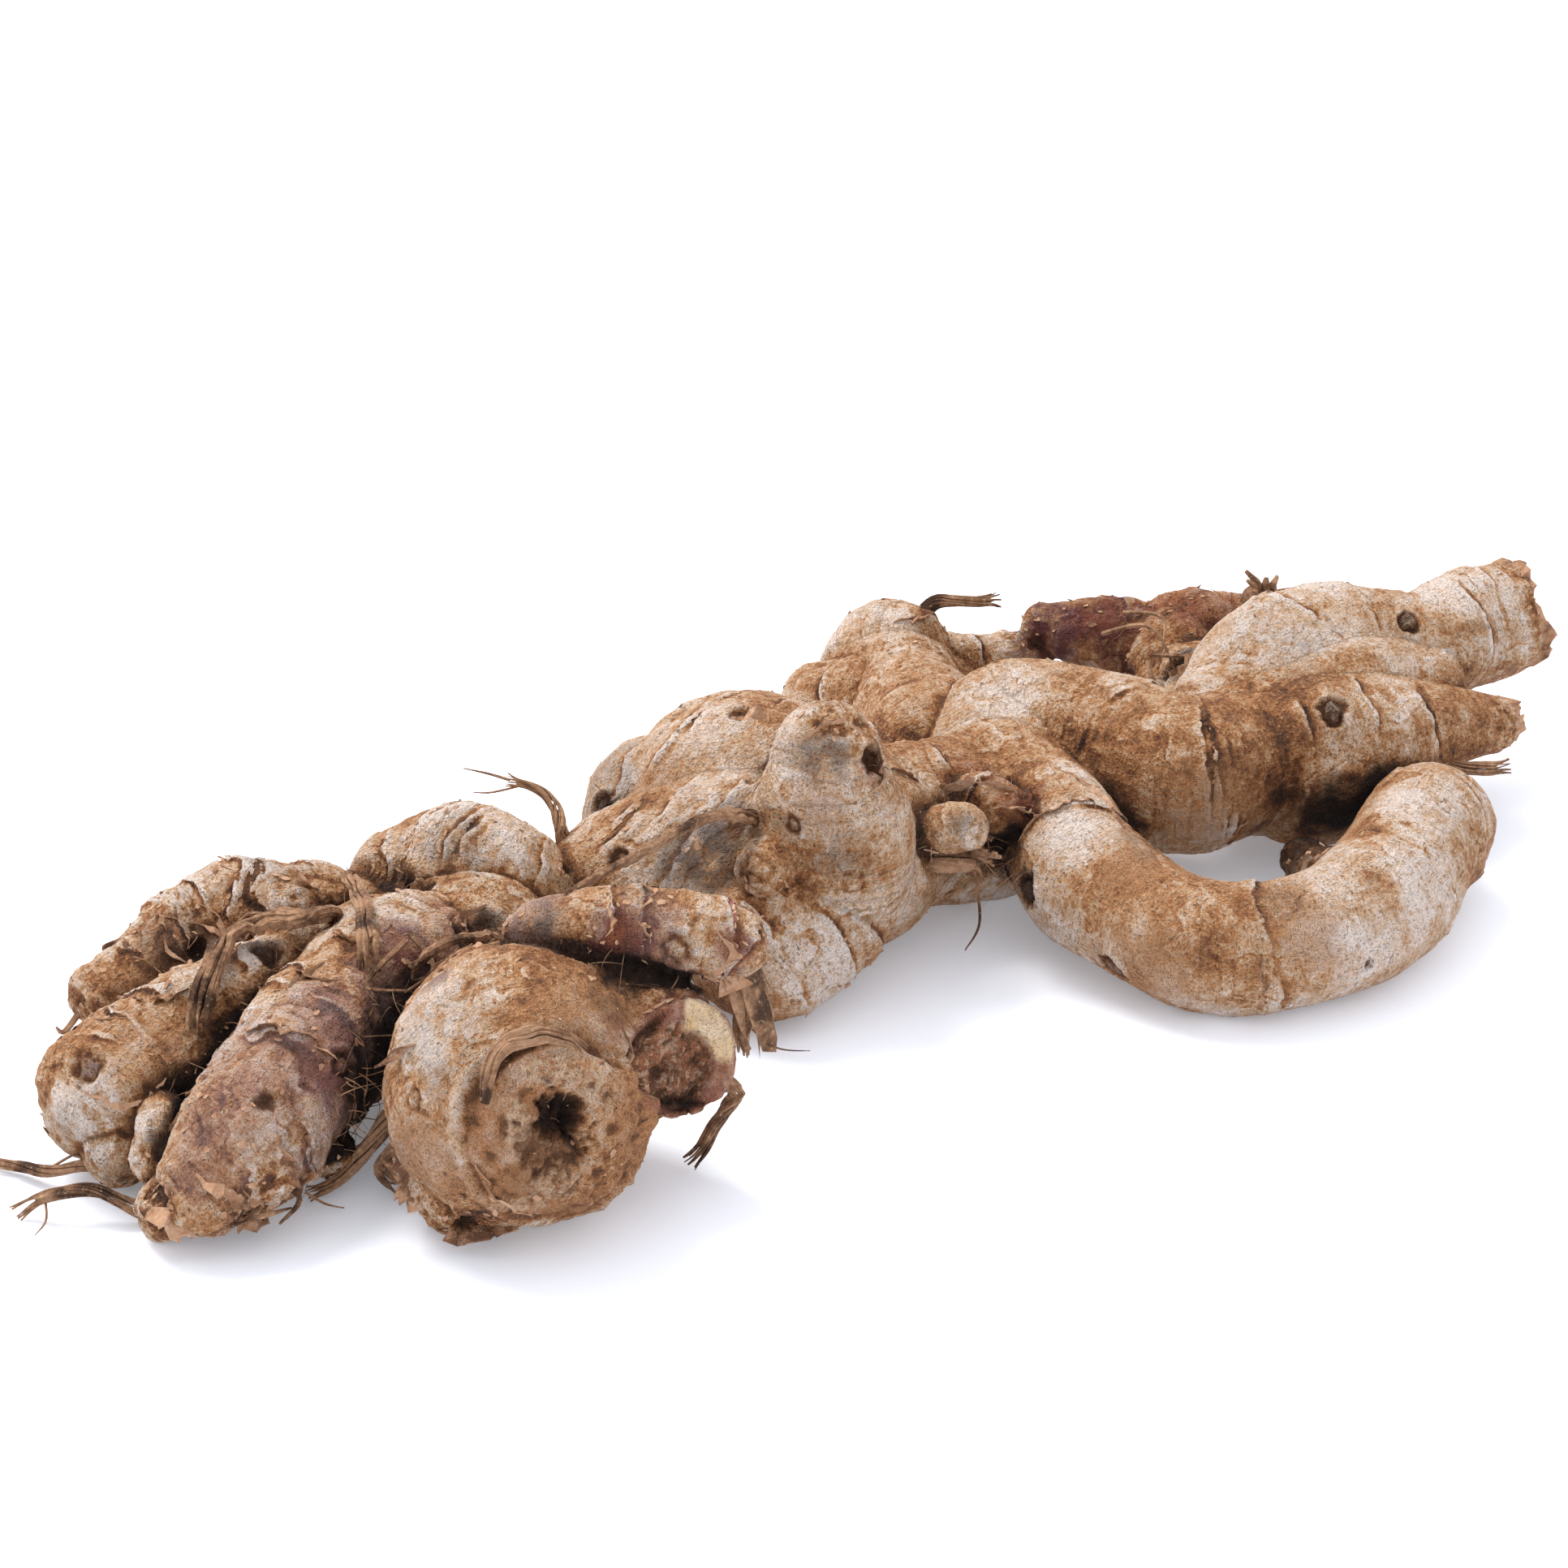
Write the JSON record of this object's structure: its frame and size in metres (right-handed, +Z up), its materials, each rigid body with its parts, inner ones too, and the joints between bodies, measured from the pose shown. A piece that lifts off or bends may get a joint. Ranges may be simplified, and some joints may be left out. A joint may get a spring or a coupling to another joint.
{
  "type": "red ginger rhizome",
  "caption": "Whole red ginger rhizome, one knobbly branching body of blunt fingers with leaf-scar rings, dried roots, a stem scar and a hooked finger.",
  "frame": {"origin": "centre of the body's box, on the surface that it lies on", "axes": "+X along the body towards its broken far finger, +Y towards its back, away from the front bulb with the stem scar, +Z up"},
  "size_m": [0.2092, 0.0984, 0.0358],
  "materials": {
    "skin": "matt papery skin, tan and grey with brown stains and purple buds"
  },
  "bodies": {
    "root": {"rhizome": "skin"}
  },
  "joints": []
}
